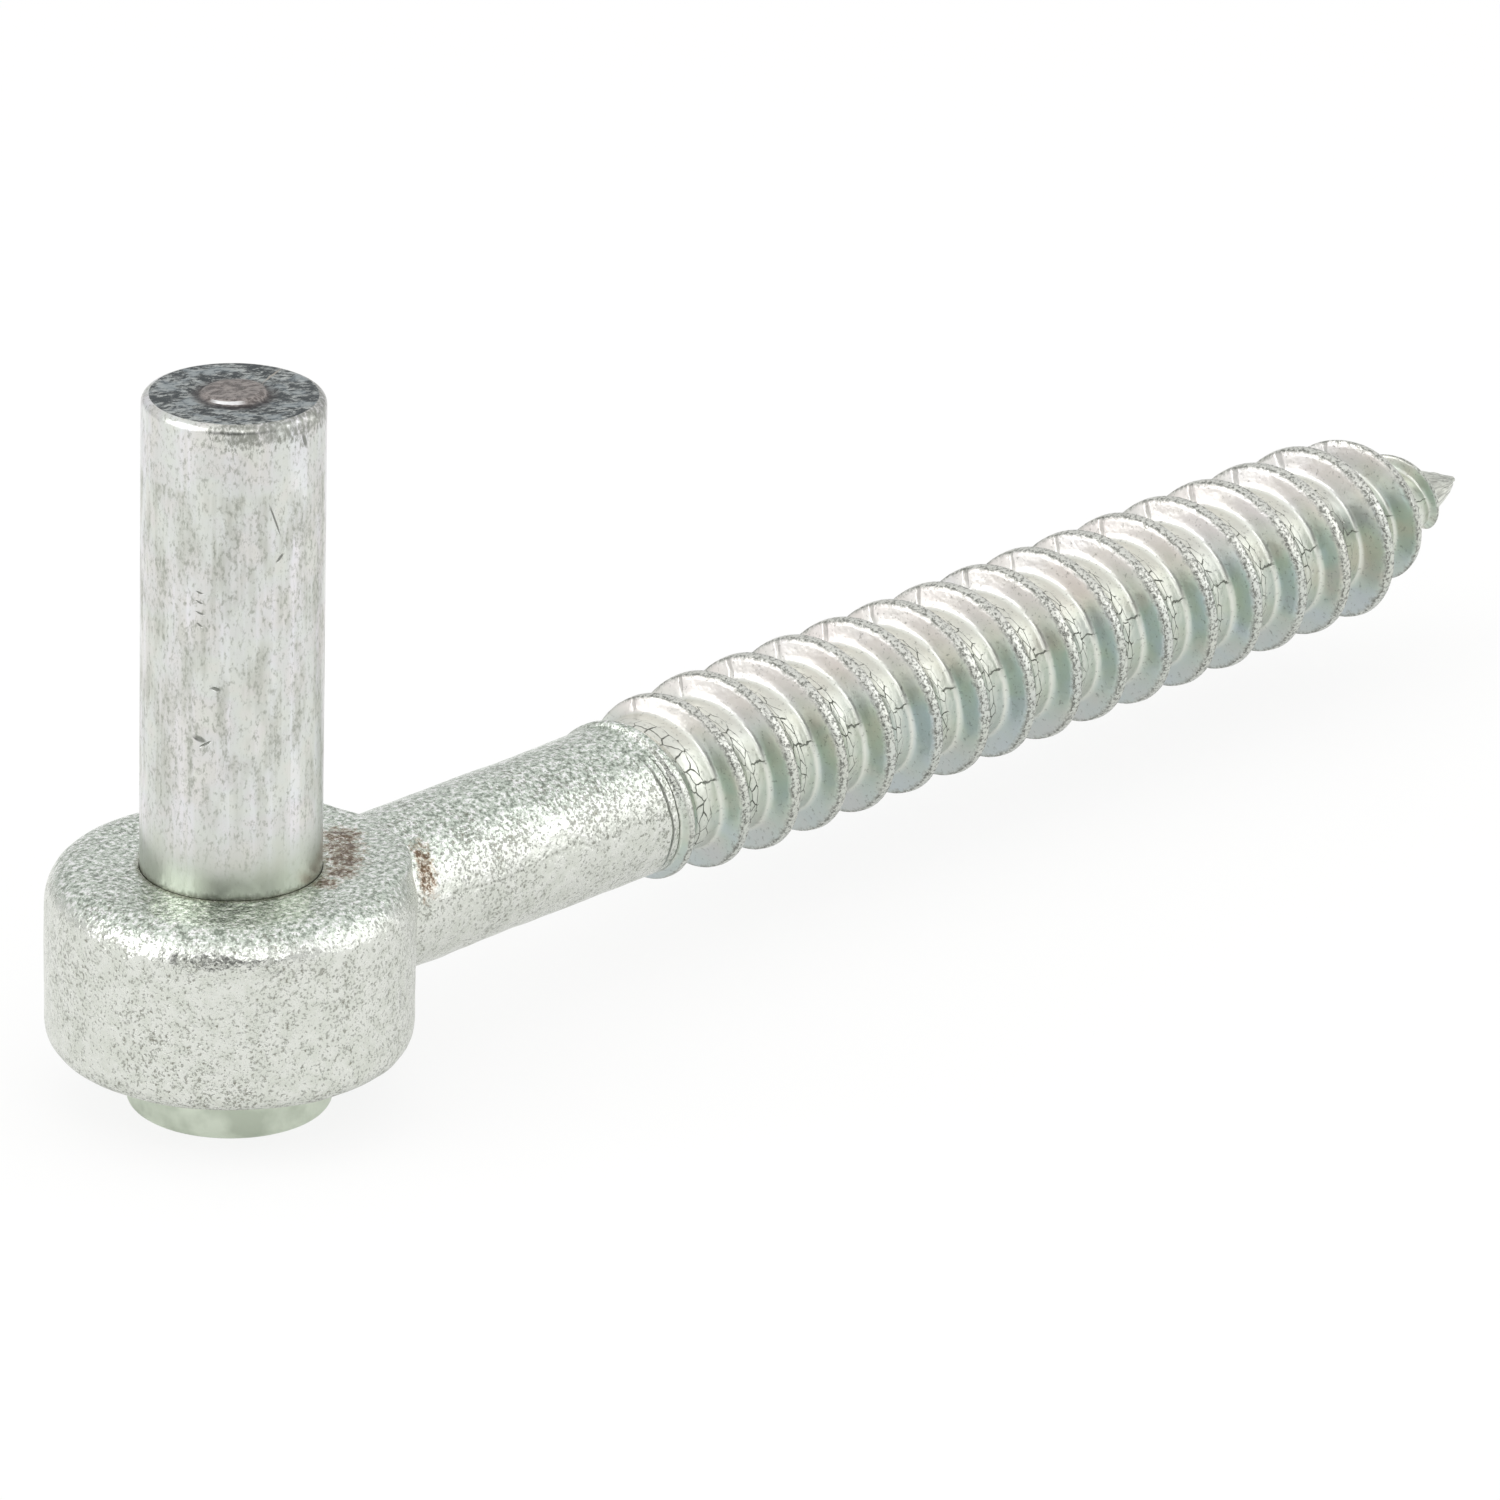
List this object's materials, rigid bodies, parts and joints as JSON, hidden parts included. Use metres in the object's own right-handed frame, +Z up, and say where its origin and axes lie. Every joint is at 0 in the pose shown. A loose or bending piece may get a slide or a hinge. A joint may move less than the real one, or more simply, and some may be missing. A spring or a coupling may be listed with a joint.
{
  "type": "screw gate hook",
  "caption": "Forged eye on a plain shank with a coarse wood-screw thread and gimlet point, and an upright pin through the eye for a gate's strap hinge.",
  "frame": {"origin": "where the upright pin's axis meets the eye's flat top, the seat of the strap hinge", "axes": "+Z up the pin, +X along the shank towards the screw point"},
  "size_m": [0.181, 0.0326, 0.0669],
  "materials": {
    "forged_zinc": "bright zinc plate over a blasted forging, smooth on the rolled thread",
    "drawn_zinc": "bright zinc plate over a drawn bar, faintly streaked along it"
  },
  "bodies": {
    "root": {"eye_screw": "forged_zinc", "hinge_pin": "drawn_zinc"}
  },
  "joints": []
}
